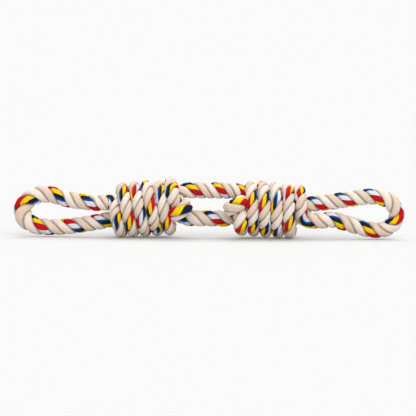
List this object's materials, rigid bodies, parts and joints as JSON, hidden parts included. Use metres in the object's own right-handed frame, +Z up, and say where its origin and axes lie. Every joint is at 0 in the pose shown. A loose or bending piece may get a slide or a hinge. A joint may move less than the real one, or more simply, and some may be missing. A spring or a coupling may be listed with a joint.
{
  "type": "rope dog toy",
  "caption": "Tug toy of soft laid cotton rope with a hand loop at each end, a thick wound knot beside each loop, and plain lines of rope joining the knots.",
  "frame": {"origin": "on the floor under the middle of the toy", "axes": "+X along the toy from the left loop to the right loop, +Y away from the viewer, +Z up"},
  "size_m": [0.391, 0.0594, 0.0615],
  "materials": {
    "cotton_rope": "soft laid yarn",
    "whipping_twine": "matt twine"
  },
  "bodies": {
    "left_knot": {"left_knot_winding": "cotton_rope", "left_core_line": "cotton_rope", "left_tuck": "cotton_rope", "left_tail": "cotton_rope", "left_tail_whipping": "whipping_twine", "left_anchored_end": "cotton_rope", "left_anchor_whipping": "whipping_twine"},
    "left_neck": {"left_upper_neck": "cotton_rope", "left_lower_neck": "cotton_rope"},
    "left_loop": {"left_loop_bow": "cotton_rope"},
    "centre_lines": {"centre_upper_line": "cotton_rope", "centre_lower_line": "cotton_rope", "centre_upper_left_neck": "cotton_rope", "centre_upper_right_neck": "cotton_rope", "centre_lower_left_neck": "cotton_rope", "centre_lower_right_neck": "cotton_rope"},
    "right_knot": {"right_knot_winding": "cotton_rope", "right_core_line": "cotton_rope", "right_tuck": "cotton_rope", "right_tail": "cotton_rope", "right_tail_whipping": "whipping_twine", "right_anchored_end": "cotton_rope", "right_anchor_whipping": "whipping_twine"},
    "right_neck": {"right_upper_neck": "cotton_rope", "right_lower_neck": "cotton_rope"},
    "right_loop": {"right_loop_bow": "cotton_rope"}
  },
  "joints": [
    {"name": "left_loop_swing", "type": "hinge", "parent": "left_knot", "child": "left_neck", "pos_m": [-0.1182, -0.0035, 0.0249], "axis": [0, 0, 1], "range_deg": [-50, 50], "deforming": ["left_upper_neck", "left_lower_neck"]},
    {"name": "left_loop_lift", "type": "hinge", "parent": "left_neck", "child": "left_loop", "pos_m": [-0.1389, 0, 0.0244], "axis": [0, 1, 0], "range_deg": [0, 35]},
    {"name": "centre_swing", "type": "hinge", "parent": "left_knot", "child": "centre_lines", "pos_m": [-0.0184, 0, 0.0338], "axis": [0, 0, 1], "range_deg": [-40, 40], "deforming": ["centre_upper_left_neck", "centre_lower_left_neck"]},
    {"name": "centre_lift", "type": "hinge", "parent": "centre_lines", "child": "right_knot", "pos_m": [0.019, 0, 0.0338], "axis": [0, -1, 0], "range_deg": [0, 25], "deforming": ["centre_upper_right_neck", "centre_lower_right_neck"]},
    {"name": "right_loop_swing", "type": "hinge", "parent": "right_knot", "child": "right_neck", "pos_m": [0.1149, -0.0035, 0.0282], "axis": [0, 0, 1], "range_deg": [-50, 50], "deforming": ["right_upper_neck", "right_lower_neck"]},
    {"name": "right_loop_lift", "type": "hinge", "parent": "right_neck", "child": "right_loop", "pos_m": [0.136, 0, 0.0286], "axis": [0, -1, 0], "range_deg": [0, 35]}
  ]
}
